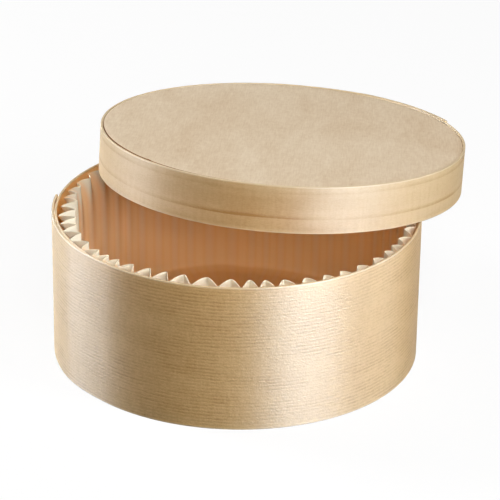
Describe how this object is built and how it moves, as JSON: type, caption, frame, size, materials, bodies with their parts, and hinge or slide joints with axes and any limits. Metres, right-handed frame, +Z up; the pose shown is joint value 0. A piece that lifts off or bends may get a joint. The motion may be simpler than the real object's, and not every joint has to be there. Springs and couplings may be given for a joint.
{
  "type": "round wooden baking box",
  "caption": "Round baking box bent from thin poplar veneer, with a fluted baking-paper liner and a shallow loose lid lying askew and half open across the rim",
  "frame": {"origin": "Centre of the box's flat underside, on the plane that it stands on and on the axis of the box.", "axes": "+Z up along the axis of the box, -Y the front as pictured, +X to the viewer's right. The lid lies shifted and leaning toward the back right."},
  "size_m": [0.171, 0.1931, 0.0875],
  "materials": {
    "poplar_veneer": "bare peeled poplar veneer with fine grain lines running round the hoop, satin",
    "poplar_disc": "bare pale poplar face with short soft fibres, matt",
    "baking_paper": "white baking paper pressed into flutes, slightly translucent"
  },
  "bodies": {
    "box": {"box_wall": "poplar_veneer", "box_base": "poplar_disc"},
    "liner": {"paper_liner": "baking_paper"},
    "lid": {"lid_rim": "poplar_veneer", "lid_top": "poplar_disc"}
  },
  "joints": [
    {"name": "liner_lift", "type": "slide", "parent": "box", "child": "liner", "axis": [0, 0, 1], "range_m": [0, 0.075]},
    {"name": "lid_lift", "type": "slide", "parent": "liner", "child": "lid", "axis": [0, 0, 1], "range_m": [0, 0.1]}
  ]
}
